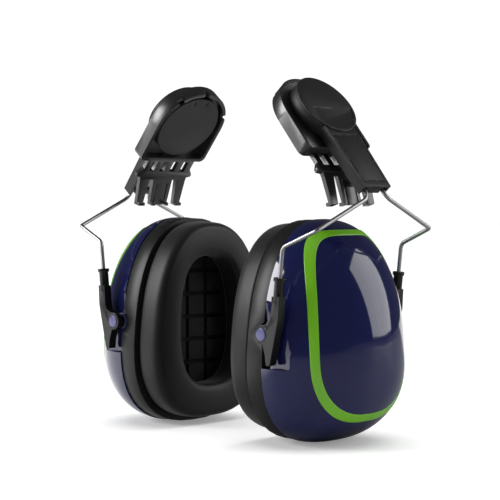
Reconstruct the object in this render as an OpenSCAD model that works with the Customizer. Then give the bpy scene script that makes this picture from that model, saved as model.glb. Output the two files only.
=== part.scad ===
// Helmet-mounted earmuff pair. Each side is a slotted helmet adapter, a swinging arm with a
// height slider, a spring-wire bow with two yokes, and a cushioned cup that tilts between them.
// X runs from one cup to the other, -Y is the wearer's front and +Z is up.
// The origin lies midway between the two helmet slots, level with the adapters' shoulders.

/* [Stance] */
// Half the distance between the two cups' pivot axes
pivot_x = 54; // [48:1:80]
// Half the distance between the two helmet slots
slot_x = 65; // [60:1:90]
// Height from the top of a cup to the level of the helmet slots
cup_drop = 21.8; // [19:0.2:40]
// Lean of the adapters and arms from upright, in degrees
lean = 40; // [32:1:44]

/* [Cup] */
// Height of the cup shell
cup_h = 107.6; // [88:0.4:132]
// Width of the cup shell, front to rear
cup_w = 81; // [68:0.5:98]
// Depth of the dome beyond the base plate
dome_depth = 39.3; // [30:0.5:48]
// How much narrower the cup is at its top than at its middle, as a share
cup_taper = 0.15; // [0.05:0.01:0.2]
// Thickness of the shell wall
shell_wall = 2.8; // [2:0.1:3.6]
// Depth of the black band of the base plate
band_depth = 10.3; // [7:0.5:13]
// Thickness of the trim ring on the dome
trim_t = 0.6; // [0.4:0.1:1.2]

/* [Cushion] */
// Thickness of the cushion
cushion_t = 14.6; // [10:0.2:18]
// How far the cushion's outline lies inside the cup's outline
cushion_inset = 2.2; // [2:0.2:5]
// Width of the ear opening
ear_w = 41; // [36:1:48]
// Height of the ear opening
ear_h = 66; // [60:1:78]
// Thickness of the cushion's vinyl skin
skin_t = 1.2; // [0.8:0.1:2]

/* [Wire and yokes] */
// Diameter of the spring wire
wire_d = 2; // [1.6:0.1:2.6]
// Half the distance between the two wire legs at the arm
leg_y = 6.4; // [6:0.1:6.8]
// How far the wire bow's knees stand out beyond the cups' pivots
knee_out = 31.5; // [24:0.5:38]
// Thickness of the yokes
yoke_t = 4.4; // [3.6:0.2:5.4]
// Diameter of the pivot buttons
pivot_d = 6.2; // [5:0.2:7.4]
// Radial running clearance of every pivot
pivot_gap = 0.05; // [0.03:0.01:0.09]

/* [Adapter] */
// Radius of the rounded top of the adapter frame
frame_r = 22.5; // [19:0.5:27]
// Depth of the adapter frame
frame_depth = 7; // [6:0.2:9]
// Distance from the hub axis to the shoulder of the slot tongue
shoulder_a = 32.5; // [27:0.5:40]
// Length of the slotted neck between the frame and the prongs
neck_len = 10.5; // [9:0.5:14]
// Width of the slot tongue's prongs, made for a 30 mm helmet slot
tongue_w = 30; // [28:0.5:32]
// Length of the prongs below the shoulder
prong_len = 16; // [13:0.5:19]

/* [Arm] */
// Length of the arm from the hub axis to its lower end
arm_len = 51.5; // [45:0.5:62]
// Width of the arm at its lower end
arm_w = 18.4; // [18:0.2:22]
// Free travel of the height slider
slide_travel = 16; // [10:1:16]
// Clearance round the slider in its channel
slide_gap = 0.15; // [0.1:0.05:0.3]

/* [Hidden] */
SIDES = [["left", 1], ["right", -1]];
PIECES = ["adapter_frame", "click_spring", "hub_disc", "hub_screw", "arm_housing", "arm_back_cover",
    "head_cap", "slider", "slider_spring", "wire_bow", "front_yoke", "rear_yoke", "cup_shell",
    "pivot_pins", "trim_ring", "base_plate", "cushion_ring", "cushion_skin", "cushion_foam",
    "foam_liner"];
$fn = 48;

// Cup, measured from the middle of its pivot axis: X outwards, Z up
outline_n = 2.5;
steps = 48;
cup_mid = -0.6;
cup_top = cup_h / 2 + cup_mid;
crown_z = -10;
shell_x = -2.6;
band_x = shell_x - band_depth;
clip_t = 1.6;
cushion_x = band_x - clip_t - 0.1;
inner_w = cup_w / 2 - 2 * shell_wall + 0.7;
inner_h = cup_h / 2 - shell_wall;
inner_depth = dome_depth - shell_wall;
pocket_y = cup_w / 2 - 2.5;
pocket_low = -16.2;
flange_x = 2;
trim_top = cup_top - 5.2 - crown_z;
trim_bottom = cup_h / 2 - 10.9 + cup_mid + crown_z;
mouth_w = ear_w / 2 + 3.5;
mouth_h = ear_h / 2 + 3;

// Stance
drop_z = -(cup_top + cup_drop);
pocket_gap = 1.6;
yoke_in = pocket_y + pocket_gap + 0.3;
yoke_y = yoke_in + yoke_t / 2;
pin_y = yoke_in + yoke_t + 0.4;
lobe_r = pivot_d / 2 + 1.2;
notch_r = lobe_r + 1.7;
stub_r = 1.5;
spine_x = 7.3;
spine_tilt = 6.5;
sleeve_r = wire_d / 2 + 1.38;
sleeve_top = 26.6;
sleeve_low = 15;

// Arm stack along the hub axis, from the adapter's rim outwards
hub_x = slot_x - shoulder_a * sin(lean);
hub_z = shoulder_a * cos(lean);
frame_drop = shoulder_a - neck_len;
frame_wall = 1.8;
tongue_t = 2.2;
tongue_half = tongue_w / 2 + 1.2;
barb = 3;
prong_tilt = 22.5;
floor_t = 1.5;
floor_n = frame_depth - 0.7 - floor_t;
disc_gap = 1.8;
disc_r = min(frame_r, frame_drop) - frame_wall - disc_gap;
disc_n = 0.9;
disc_t = 1.8;
boss_r = 6;
screw_r = 1.9;
head_r = frame_r - 5.2;
head_n = frame_depth - 0.4;
beam_n = frame_depth + 0.3;
head_floor_t = 1.8;
cap_n = head_n + 5.6;
cap_t = 1.4;
panel_n = cap_n + 0.8;
channel_n = beam_n + 1.3;
channel_h = 2.8;
channel_w = 2 * (leg_y + wire_d / 2 + 0.35);
cover_top_a = 21;
cross_a = arm_len - 2.4;
cross_n = beam_n + 2.1;
slider_a = arm_len - slide_travel - 9;
slider_end = arm_len - 0.4;
slider_half = channel_w / 2 - slide_gap;
slider_low = channel_n + slide_gap;
slider_high = channel_n + channel_h - slide_gap;
spring_pocket = [8, 6.4, 0.8];
head_w = arm_w + 3.6;

// Wire bow, measured from the middle of the cup's pivot axis
exit_a = arm_len + 3.8;
cross_at = from_arm(cross_a, cross_n);
exit_at = from_arm(exit_a, cross_n);
wire_low = 7;
bend_z = cup_top - 12.6;
knee_z = cup_top - 4.6;
knee_y = yoke_y - 2;

function signed_power(v, p) = sign(v) * pow(abs(v), p);

// A point of an egg-shaped outline in the YZ plane, at angle a
function egg(a, half_w, half_h, mid, n, taper) =
    let (v = signed_power(sin(a), 2 / n))
    [half_w * signed_power(cos(a), 2 / n) * (1 - taper * v), mid + half_h * v];

function egg_outline(half_w, half_h, mid = cup_mid, n = outline_n, taper = cup_taper) =
    [for (i = [0:steps - 1]) egg(i * 360 / steps, half_w, half_h, mid, n, taper)];

cup_outline = egg_outline(cup_w / 2, cup_h / 2);
cavity_outline = egg_outline(inner_w, inner_h);
cushion_outline = egg_outline(cup_w / 2 - cushion_inset, cup_h / 2 - cushion_inset - 0.4, 0);
ear_outline = egg_outline(ear_w / 2, ear_h / 2, 0, 2.7, 0.04);
mouth_outline = egg_outline(mouth_w, mouth_h, 0, 2.7, 0.04);

// An outline shrunk towards the crown by factor k and lifted to height x
function ring_at(outline, k, x) = [for (p = outline) [x, p[0] * k, crown_z + (p[1] - crown_z) * k]];

// Rings of an elliptical dome, from its foot towards its crown
function dome_rings(outline, depth, foot, count) =
    [for (j = [0:count - 1]) let (t = 90 * j / count) ring_at(outline, cos(t), foot + depth * sin(t))];

function band_faces(first, second, count) = [for (i = [0:count - 1]) let (n = (i + 1) % count)
    each [[first + i, second + n, first + n], [first + i, second + i, second + n]]];

function flatten(lists) = [for (l = lists) each l];

// A closed surface through rings, pinched to a point at both ends
module pinched_loft(start, rings, end) {
    count = len(rings[0]);
    last = 1 + (len(rings) - 1) * count;
    tip = last + count;
    points = concat([start], flatten(rings), [end]);
    start_fan = [for (i = [0:count - 1]) [1 + i, 1 + (i + 1) % count, 0]];
    end_fan = [for (i = [0:count - 1]) [last + (i + 1) % count, last + i, tip]];
    bands = [for (j = [0:len(rings) - 2]) each band_faces(1 + j * count, 1 + (j + 1) * count, count)];
    polyhedron(points, concat(start_fan, bands, end_fan));
}

// A closed surface through rings, the last joined to the first
module looped_loft(rings) {
    count = len(rings[0]);
    turns = len(rings);
    polyhedron(flatten(rings), [for (j = [0:turns - 1])
        each band_faces(j * count, ((j + 1) % turns) * count, count)]);
}

// A plate with the given outline in the YZ plane, from x = low to x = high
module outline_plate(outline, low, high) {
    translate([low, 0, 0])
        rotate([90, 0, 90])
            linear_extrude(high - low) polygon(outline);
}

// Copies at the front and at the rear
module front_and_rear() {
    children();
    mirror([0, 1, 0]) children();
}

// A rod from one point to another
module rod(from, to, r) {
    span = to - from;
    length = norm(span);
    translate(from)
        rotate([0, acos(span[2] / length), atan2(span[1], span[0])])
            cylinder(h = length, r = r);
}

// A round bar along Y, from y = low to y = high
module bar_y(r, low, high) {
    translate([0, low, 0])
        rotate([-90, 0, 0])
            cylinder(h = high - low, r = r);
}

// The left side as drawn, or its mirror image
module on_side(side) {
    if (side > 0) children();
    else mirror([1, 0, 0]) children();
}

// Cup frame: its origin is the middle of the cup's pivot axis
module on_cup() {
    translate([pivot_x, 0, drop_z]) children();
}

// Arm frame: X runs down the arm, Z along the hub axis away from the head
module on_arm() {
    translate([hub_x, 0, hub_z])
        rotate([0, 90 - lean, 0])
            children();
}

// ---- Adapter -------------------------------------------------------------------------------

// The adapter's D-shaped plan: round above, square below
module frame_outline(r, drop) {
    corner_r = 3;
    circle(r, $fn = 96);
    translate([0, -r]) square([drop - corner_r, 2 * r]);
    translate([0, -r + corner_r]) square([drop, 2 * (r - corner_r)]);
    for (s = [-1, 1])
        translate([drop - corner_r, s * (r - corner_r)]) circle(corner_r);
}

// The adapter: a shallow D-shaped tray with a slotted neck and three prongs for the helmet slot
module adapter_frame() {
    color([0.06, 0.06, 0.065]) {
        frame_body();
        slot_tongue();
        translate([shoulder_a, 0, 0])
            rotate([0, prong_tilt, 0])
                prongs();
    }
}

// Tray with a hub bore, an open lower edge on its outer side and notches in its rim
module frame_body() {
    notch = [3.2, 3, 2.2];
    difference() {
        linear_extrude(frame_depth) frame_outline(frame_r, frame_drop);
        translate([0, 0, -1])
            linear_extrude(floor_n + 1) frame_outline(frame_r - frame_wall, frame_drop - frame_wall);
        translate([0, 0, floor_n + floor_t])
            linear_extrude(frame_depth) frame_outline(frame_r - frame_wall, frame_drop + 1);
        translate([0, 0, -1]) cylinder(h = frame_depth + 2, r = boss_r + pivot_gap);
        for (turn = [112, 180, 222])
            rotate([0, 0, turn])
                translate([frame_r - notch[0] + 1, -notch[1] / 2, -1])
                    cube([notch[0], notch[1], notch[2] + 1]);
    }
}

// The slotted neck between the frame and the prongs, with a barb at each side of its shoulder
module slot_tongue() {
    start = frame_drop - frame_wall;
    neck = shoulder_a - start;
    slot_len = neck - 5.7;
    slot_w = 3.4;
    pitch = 7.2;
    difference() {
        translate([start, -tongue_half, 0]) cube([neck + 0.8, 2 * tongue_half, tongue_t]);
        for (i = [-1.5:1:1.5])
            translate([shoulder_a - 3.4 - slot_len, i * pitch - slot_w / 2, -1])
                cube([slot_len, slot_w, tongue_t + 2]);
    }
    front_and_rear()
        linear_extrude(tongue_t)
            polygon([[shoulder_a - 5, tongue_half - 1], [shoulder_a - 5, tongue_half],
                [shoulder_a - 1.4, tongue_half + barb], [shoulder_a, tongue_half + barb],
                [shoulder_a + 0.8, tongue_half], [shoulder_a + 0.8, tongue_half - 1]]);
}

// Three prongs with inward feet; the middle one carries a snap tongue with a lug
module prongs() {
    outer_w = 5.2;
    middle_w = tongue_w - 2 * outer_w - 8;
    foot = 1.8;
    slit = 0.8;
    flank = 3.2;
    front_and_rear()
        linear_extrude(tongue_t)
            polygon([[-0.6, tongue_half], [-0.6, tongue_half - outer_w - 1.6],
                [2, tongue_half - outer_w - 1.6], [prong_len, tongue_w / 2 - outer_w + 1],
                [prong_len, tongue_w / 2]]);
    difference() {
        linear_extrude(tongue_t)
            polygon([[-0.6, -middle_w / 2 - 1], [-0.6, middle_w / 2 + 1], [prong_len, middle_w / 2],
                [prong_len, -middle_w / 2]]);
        front_and_rear()
            translate([prong_len - 12, flank, -1]) cube([13, slit, tongue_t + 2]);
    }
    translate([-0.6, -tongue_half, 0]) cube([2.6, 2 * tongue_half, tongue_t]);
    front_and_rear()
        translate([prong_len - 1.6, tongue_w / 2 - outer_w + 1, -foot])
            cube([1.6, outer_w - 1, foot + 0.2]);
    translate([prong_len - 1.6, -middle_w / 2, -foot]) cube([1.6, middle_w / 2 - flank, foot + 0.2]);
    translate([prong_len - 1.6, flank + slit, -foot])
        cube([1.6, middle_w / 2 - flank - slit, foot + 0.2]);
    translate([prong_len - 12, -2.2, tongue_t])
        rotate([-90, 0, 0])
            linear_extrude(4.4) polygon([[0, 0.1], [0, 0], [1.6, -1.6], [3.4, -1.6], [3.4, 0.1]]);
}

// Flat C-shaped spring on the frame's floor, whose raised pad clicks against the hub disc
module click_spring() {
    t = 0.5;
    outer = disc_r - 2.5;
    inner = outer - 3;
    pad_n = disc_n + disc_t + 0.3;
    color([0.72, 0.72, 0.74]) {
        difference() {
            translate([0, 0, floor_n - t]) cylinder(h = t, r = outer);
            translate([0, 0, floor_n - 2 * t]) cylinder(h = 3 * t, r = inner);
            translate([-outer, -2, floor_n - 2 * t]) cube([outer, 4, 3 * t]);
        }
        translate([(outer + inner) / 2, 0, pad_n]) cylinder(h = floor_n - pad_n, r = 1.2);
    }
}

// ---- Hub and arm ---------------------------------------------------------------------------

// Disc that the click spring rides on, with the boss that turns in the frame
module hub_disc() {
    color([0.1, 0.1, 0.105])
        difference() {
            union() {
                translate([0, 0, disc_n]) cylinder(h = disc_t, r = disc_r, $fn = 96);
                translate([0, 0, disc_n + disc_t]) cylinder(h = head_n - disc_n - disc_t, r = boss_r);
            }
            translate([0, 0, disc_n + 1.2]) cylinder(h = head_n, r = screw_r + 0.05);
            for (turn = [165, 195])
                rotate([0, 0, turn])
                    translate([disc_r - 3.6, -0.4, 0]) cube([2.4, 0.8, disc_n + 0.6]);
        }
}

// Screw up through the boss, with a crossed slot in its head
module hub_screw() {
    seat = head_n + head_floor_t;
    color([0.7, 0.7, 0.72])
        difference() {
            union() {
                translate([0, 0, disc_n + 1.4]) cylinder(h = seat - disc_n - 1.4, r = screw_r);
                translate([0, 0, seat]) cylinder(h = 1.8, r = 3.8);
            }
            translate([-2.6, -0.4, seat + 1]) cube([5.2, 0.8, 2]);
            translate([-0.4, -2.6, seat + 1]) cube([0.8, 5.2, 2]);
        }
}

// The beam's plan: wide under the round head, narrower at its lower end
module beam_outline(inset, from, to) {
    half_at = function (a) arm_w / 2 - inset + (arm_len - a) / arm_len * (head_w - arm_w) / 2;
    polygon([[from, -half_at(from)], [to, -half_at(to)], [to, half_at(to)], [from, half_at(from)]]);
}

// Round head and tapering beam in one, with the slider's channel open at its lower end
module arm_housing() {
    lip_t = 1;
    wall = 1.8;
    color([0.06, 0.06, 0.065])
        difference() {
            union() {
                translate([0, 0, head_n]) cylinder(h = cap_n - head_n, r = head_r, $fn = 96);
                translate([0, 0, beam_n])
                    linear_extrude(panel_n - beam_n) beam_outline(0, 8, arm_len);
            }
            translate([0, 0, cap_n]) cylinder(h = cap_t + 2, r = head_r + 0.1, $fn = 96);
            translate([0, 0, head_n + head_floor_t]) cylinder(h = cap_n, r = head_r - wall, $fn = 96);
            translate([0, 0, head_n - 1]) cylinder(h = 6, r = screw_r + 0.1);
            translate([0, -channel_w / 2, channel_n]) cube([arm_len + 1, channel_w, channel_h]);
            translate([arm_len - 5, -channel_w / 2, channel_n])
                cube([6, channel_w, panel_n - lip_t - channel_n]);
            translate([0, 0, beam_n - 1])
                linear_extrude(channel_n - beam_n + 1) beam_outline(1.2, cover_top_a, arm_len + 1);
            panel_groove();
        }
}

// The fine groove that borders the outer panel
module panel_groove() {
    depth = 0.4;
    translate([0, 0, panel_n - depth])
        linear_extrude(1)
            difference() {
                beam_outline(1.4, head_r + 2, arm_len - 3.2);
                beam_outline(1.9, head_r + 2.5, arm_len - 3.7);
            }
}

// Plate that closes the channel from behind
module arm_back_cover() {
    color([0.08, 0.08, 0.085])
        translate([0, 0, beam_n])
            linear_extrude(channel_n - beam_n) beam_outline(1.25, cover_top_a + 0.05, cross_a - 3.2);
}

// Round cap over the hub, with a shallow D-shaped recess and a lip that drops into the head
module head_cap() {
    lip_r = head_r - 1.9;
    recess = 0.5;
    color([0.06, 0.06, 0.065])
        difference() {
            union() {
                translate([0, 0, cap_n]) cylinder(h = cap_t, r = head_r, $fn = 96);
                difference() {
                    translate([0, 0, cap_n - 1.2]) cylinder(h = 1.3, r = lip_r, $fn = 96);
                    translate([0, 0, cap_n - 2]) cylinder(h = 2, r = lip_r - 1.5, $fn = 96);
                    translate([4, -head_r, cap_n - 2]) cube([head_r, 2 * head_r, 2]);
                }
            }
            intersection() {
                translate([0, 0, cap_n + cap_t - recess]) cylinder(h = 1, r = head_r - 1.4, $fn = 96);
                translate([2.5, -head_r + 6, cap_n]) cube([head_r, 2 * head_r, 4]);
            }
        }
}

// ---- Slider and wire -----------------------------------------------------------------------

// Height slider: its lower end block holds the bow's cross bar between two notches for the legs
module slider() {
    block_half = leg_y - wire_d / 2 - 0.25;
    notch_a = cross_a - wire_d / 2 - 0.35;
    block_low = beam_n + 0.25;
    color([0.07, 0.07, 0.075])
        difference() {
            union() {
                translate([slider_a, -slider_half, slider_low])
                    cube([slider_end - slider_a, 2 * slider_half, slider_high - slider_low]);
                translate([notch_a, -block_half, block_low])
                    cube([slider_end - notch_a, 2 * block_half, slider_high - block_low]);
            }
            front_and_rear()
                translate([notch_a, block_half, slider_low - 1]) cube([10, 10, channel_h + 2]);
            translate([cross_a, 0, cross_n]) bar_y(wire_d / 2 + pivot_gap, -10, 10);
            translate([slider_a + 4, -spring_pocket[1] / 2, slider_high - spring_pocket[2]])
                cube([spring_pocket[0], spring_pocket[1], 2]);
        }
}

// Leaf that presses on the channel and holds the slider at its height
module slider_spring() {
    leaf = 0.3;
    ridge_r = 0.45;
    base_n = slider_high - spring_pocket[2];
    color([0.72, 0.72, 0.74])
        translate([slider_a + 4.1, -spring_pocket[1] / 2 + 0.1, base_n]) {
            cube([spring_pocket[0] - 0.2, spring_pocket[1] - 0.2, leaf]);
            translate([spring_pocket[0] / 2, 0.6, ridge_r])
                rotate([-90, 0, 0])
                    cylinder(h = spring_pocket[1] - 1.4, r = ridge_r);
        }
}

// A place in the arm frame, measured from the middle of the cup's pivot axis
function from_arm(a, n) = [hub_x + a * sin(lean) + n * cos(lean) - pivot_x,
    hub_z - a * cos(lean) + n * sin(lean) - drop_z];

function spine_at(z) = spine_x + tan(spine_tilt) * z;

// Spring wire from one yoke over its knees and the cross bar to the other yoke
module wire_bow() {
    corner_r = wire_d / 2 + 0.04;
    route = [[spine_at(wire_low), yoke_y, wire_low], [spine_at(bend_z), yoke_y, bend_z],
        [knee_out, knee_y, knee_z], [exit_at[0], leg_y, exit_at[1]],
        [cross_at[0], leg_y, cross_at[1]]];
    color([0.8, 0.8, 0.82]) {
        front_and_rear()
            for (i = [1:len(route) - 1]) {
                rod(route[i - 1], route[i], wire_d / 2);
                translate(route[i]) sphere(corner_r);
            }
        translate([cross_at[0], 0, cross_at[1]]) bar_y(wire_d / 2, -leg_y, leg_y);
    }
}

// Yoke: a sleeve on the wire's end, a lobe round the pivot and a tail down the cup's side
module yoke() {
    edge = [[spine_at(18) + 2.3, 18], [spine_at(8) + 2.9, 8], [8.9, -1], [5.9, -13.2], [5.1, -14.2],
        [3.3, -14.2], [2.7, -9.4], [0.8, -4.1], [0, 4.2], [3.6, 4.9], [5.5, 6.2],
        [spine_at(9) - 2.1, 9], [spine_at(18) - 2.3, 18]];
    top_low = sleeve_top - 1.6;
    color([0.05, 0.05, 0.055])
        difference() {
            union() {
                translate([0, yoke_in + yoke_t, 0])
                    rotate([90, 0, 0])
                        linear_extrude(yoke_t) {
                            polygon(edge);
                            circle(lobe_r);
                        }
                rod([spine_at(sleeve_low), yoke_y, sleeve_low],
                    [spine_at(top_low), yoke_y, top_low], sleeve_r);
                translate([spine_at(sleeve_low), yoke_y, sleeve_low]) sphere(sleeve_r + 0.03);
                translate([spine_at(top_low), yoke_y, top_low])
                    rotate([0, spine_tilt, 0])
                        cylinder(h = 1.6, r = sleeve_r + 0.55);
            }
            translate([spine_at(wire_low - 0.3), yoke_y, wire_low - 0.3])
                rotate([0, spine_tilt, 0])
                    cylinder(h = 40, r = wire_d / 2 + 0.04);
            bar_y(pivot_d / 2 + pivot_gap, yoke_in - 2, pin_y + 2);
        }
}

module rear_yoke() { yoke(); }

module front_yoke() { mirror([0, 1, 0]) yoke(); }

// ---- Cup -----------------------------------------------------------------------------------

// Snap pins: a stub in the shell, a washer on its pocket, and the button through the yoke
module pivot_pins() {
    washer_r = pivot_d / 2 + 1.1;
    color([0.3, 0.3, 0.6])
        front_and_rear() {
            bar_y(pivot_d / 2, pocket_y, pin_y);
            bar_y(washer_r, pocket_y, yoke_in - 0.3);
            bar_y(stub_r, pocket_y - 1.7, pocket_y + 0.1);
        }
}

// Hollow dome with a flat pocket at the front and at the rear for the pivots
module cup_shell() {
    outer = dome_rings(cup_outline, dome_depth, shell_x, 12);
    inner = dome_rings(cavity_outline, inner_depth, shell_x, 9);
    reversed = [for (j = [len(inner) - 1:-1:0]) inner[j]];
    color([0.07, 0.07, 0.28])
        difference() {
            pinched_loft([shell_x + inner_depth, 0, crown_z], concat(reversed, outer),
                [shell_x + dome_depth, 0, crown_z]);
            front_and_rear() {
                translate([shell_x - 1, pocket_y, pocket_low]) cube([spine_x + 9, 10, cup_h]);
                bar_y(stub_r + 0.05, pocket_y - 5, pocket_y + 5);
            }
        }
}

// The cup's outline as pairs of angle round the crown axis and radius, for lookup
polar_table = [for (i = [-5:steps + 2])
    let (p = egg(i * 360 / steps, cup_w / 2, cup_h / 2, cup_mid, outline_n, cup_taper),
        a = atan2(p[1] - crown_z, p[0]),
        turn = (i > steps / 4 && a < 0) || i >= steps ? 360 : 0)
    [a + turn, norm([p[0], p[1] - crown_z])]];

// The dome's surface over a point of the YZ plane, lifted off it by lift
function on_dome(p, lift) =
    let (d = [p[0], p[1] - crown_z], a0 = atan2(d[1], d[0]), a = a0 < -20 ? a0 + 360 : a0,
        k = min(0.999, norm(d) / lookup(a, polar_table)),
        grow = 1 + lift * 2 * k / cup_w)
    [shell_x + (dome_depth + lift) * sqrt(1 - k * k), d[0] * grow, crown_z + d[1] * grow];

// A D-shaped loop on the dome: square at its narrow top, round at its wide bottom
function trim_point(a, shrink) =
    let (upper = sin(a) > 0,
        n = upper ? 5 : 2.5,
        rise = upper ? trim_top - shrink * 0.6 : trim_bottom - shrink,
        v = signed_power(sin(a), 2 / n),
        half = (cup_w * 0.41 - shrink * 0.75) * (upper ? 1 - 0.22 * v * v : 1))
    [half * signed_power(cos(a), 2 / n), crown_z + rise * v];

// Lime trim ring, seated on the dome
module trim_ring() {
    seat = 0.25;
    width = 4;
    turns = 2 * steps;
    rings = [[0, seat], [0, seat + trim_t], [width, seat + trim_t], [width, seat]];
    color([0.4, 0.72, 0.12])
        looped_loft([for (r = rings)
            [for (i = [0:turns - 1]) on_dome(trim_point(i * 360 / turns, r[0]), r[1])]]);
}

// Base plate: the outer band, the flange that carries the cushion, and a spigot in the shell
module base_plate() {
    inset = 0.4;
    wall = 3;
    spigot = 3;
    rim = egg_outline(cup_w / 2 - inset, cup_h / 2 - inset);
    hollow = egg_outline(inner_w - 1.8, inner_h - 1.8);
    neck_gap = 0.5;
    neck = egg_outline(inner_w - neck_gap, inner_h - neck_gap);
    color([0.09, 0.09, 0.09])
        difference() {
            union() {
                outline_plate(rim, band_x, shell_x);
                outline_plate(neck, shell_x - 1, shell_x + spigot);
            }
            outline_plate(hollow, band_x + flange_x, shell_x + spigot + 1);
            outline_plate(mouth_outline, band_x - 1, band_x + flange_x + 1);
            front_and_rear()
                bar_y(notch_r, pocket_y - 1.2, cup_w);
        }
}

// Clip ring that holds the cushion's edge on the base plate
module cushion_ring() {
    rim = egg_outline(cup_w / 2 - 5.5, cup_h / 2 - 5.5);
    color([0.04, 0.04, 0.04])
        difference() {
            outline_plate(rim, band_x - clip_t, band_x);
            outline_plate(mouth_outline, band_x - clip_t - 1, band_x + 1);
        }
}

// Section of the cushion: share of the way from its rim to the opening, and share of its thickness
cushion_section = [[0.95, 0], [1, 0.08], [1, 0.76], [0.97, 0.9], [0.88, 0.98], [0.72, 1], [0.42, 1],
    [0.22, 0.98], [0.09, 0.91], [0.01, 0.76], [0, 0.62], [0, 0.1], [0.05, 0]];

// The cushion's ring, shrunk all round by inset
module cushion_body(inset) {
    band_w = (cup_w / 2 - cushion_inset) - ear_w / 2;
    across = 1 - 2 * inset / band_w;
    deep = 1 - 2 * inset / cushion_t;
    looped_loft([for (s = cushion_section)
        let (u = 0.5 + (s[0] - 0.5) * across, x = cushion_x - cushion_t * (0.5 + (s[1] - 0.5) * deep))
        [for (i = [0:steps - 1])
            let (p = cushion_outline[i] * (1 - u) + ear_outline[i] * u) [x, p[0], p[1]]]]);
}

// Vinyl skin, closed all round the foam
module cushion_skin() {
    color([0.07, 0.07, 0.07])
        difference() {
            cushion_body(0);
            cushion_body(skin_t);
        }
}

// Soft foam inside the skin
module cushion_foam() {
    color([0.25, 0.25, 0.25]) cushion_body(skin_t + 0.15);
}

// Acoustic foam in the cup, with a waffle of square pads facing the ear
module foam_liner() {
    slab = egg_outline(inner_w - 2.2, inner_h - 2.2);
    core = egg_outline(inner_w * 0.78, inner_h * 0.74, crown_z * 0.4);
    face = egg_outline(mouth_w - 0.6, mouth_h - 0.6, 0, 2.7, 0.04);
    slab_x = band_x + flange_x + 0.2;
    pitch = [13, 12];
    pad = [10.8, 9.8];
    pad_t = 2.2;
    shift = 2;
    color([0.05, 0.05, 0.05]) {
        outline_plate(slab, slab_x, shell_x + 8);
        outline_plate(core, shell_x + 8, shell_x + 18);
        intersection() {
            outline_plate(face, slab_x - pad_t, slab_x);
            for (row = [-3:3], column = [-2:2])
                translate([slab_x - pad_t, column * pitch[0] - pad[0] / 2 + shift,
                    (row + 0.5) * pitch[1] - pad[1] / 2 + 1])
                    cube([pad_t, pad[0], pad[1]]);
        }
    }
}

// ---- Assembly ------------------------------------------------------------------------------

for (s = SIDES) on_side(s[1]) {
    on_arm() adapter_frame();
    on_arm() click_spring();
    on_arm() hub_disc();
    on_arm() hub_screw();
    on_arm() arm_housing();
    on_arm() arm_back_cover();
    on_arm() head_cap();
    on_arm() slider();
    on_arm() slider_spring();
    on_cup() wire_bow();
    on_cup() front_yoke();
    on_cup() rear_yoke();
    on_cup() cup_shell();
    on_cup() pivot_pins();
    on_cup() trim_ring();
    on_cup() base_plate();
    on_cup() cushion_ring();
    on_cup() cushion_skin();
    on_cup() cushion_foam();
    on_cup() foam_liner();
}
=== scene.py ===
import logging
import math
from dataclasses import dataclass
from enum import Enum
from typing import Callable, Iterable, Optional, Sequence

import bmesh
import bpy
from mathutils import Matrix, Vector


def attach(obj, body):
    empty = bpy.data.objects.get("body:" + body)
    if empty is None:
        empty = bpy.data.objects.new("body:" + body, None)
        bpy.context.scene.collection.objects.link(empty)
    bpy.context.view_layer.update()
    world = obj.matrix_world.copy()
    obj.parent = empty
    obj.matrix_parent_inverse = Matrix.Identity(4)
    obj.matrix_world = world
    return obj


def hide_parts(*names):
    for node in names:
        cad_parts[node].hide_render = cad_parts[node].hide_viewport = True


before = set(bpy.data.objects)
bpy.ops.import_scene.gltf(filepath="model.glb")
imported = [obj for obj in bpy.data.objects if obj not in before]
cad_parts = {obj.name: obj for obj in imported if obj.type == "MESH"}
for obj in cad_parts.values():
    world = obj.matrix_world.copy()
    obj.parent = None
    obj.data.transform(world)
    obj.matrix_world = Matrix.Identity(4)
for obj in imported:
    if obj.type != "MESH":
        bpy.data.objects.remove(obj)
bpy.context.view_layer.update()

# Looks of a helmet-mounted earmuff pair: two cushioned cups on spring-wire bows, each hung
# from an arm and a slotted helmet adapter. Lengths are in metres, in the frame of the CAD model.

Triple = tuple[float, float, float]
LOG = logging.getLogger("earmuff")
MM = 0.001
SOFT_ANGLE = math.radians(28)
FLAT_ANGLE = math.radians(0.6)
MERGE_GAP = 0.002 * MM
WHITE = (1, 1, 1, 1)
MIX_A, MIX_B, MIX_OUT = 6, 7, 2


# ---- Small helpers ------------------------------------------------------------------------


class Side(Enum):
    """The two units of the pair: the name they carry and the sign of their X."""

    LEFT = ("left", 1.0)
    RIGHT = ("right", -1.0)

    @property
    def label(self) -> str:
        """Name used in nodes and bodies."""
        return self.value[0]

    @property
    def sign(self) -> float:
        """+1 for the unit on the +X side, -1 for the other."""
        return self.value[1]

    def node(self, name: str) -> str:
        """Name of this side's CAD node or body."""
        return f"{self.label}_{name}"


class Grade(Enum):
    """How a surface is moulded, which sets the size of its grain in metres."""

    SATIN = 0.00035
    POLISHED = 0.0012
    LEATHERY = 0.0009


def signed_power(value: float, power: float) -> float:
    """Power of the size of a number, with the number's own sign."""
    return math.copysign(abs(value) ** power, value)


def mirror_to(side: Side, bm: bmesh.types.BMesh) -> None:
    """Turn a mesh drawn for the left unit into its mirror image on the right.

    Args:
        side: the unit that the mesh is for; the left one is left as drawn.
        bm: mesh to mirror.
    """
    if side is Side.RIGHT:
        bmesh.ops.scale(bm, vec=(-1, 1, 1), verts=bm.verts)
        bmesh.ops.reverse_faces(bm, faces=bm.faces)


def place_ring(verts: Iterable[bmesh.types.BMVert], spot: Callable[[int], Vector]) -> None:
    """Put the vertices of one ring where a rule says.

    Args:
        verts: the ring's vertices in order.
        spot: gives the place of vertex number i.
    """
    for i, vert in enumerate(verts):
        vert.co = spot(i)


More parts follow.
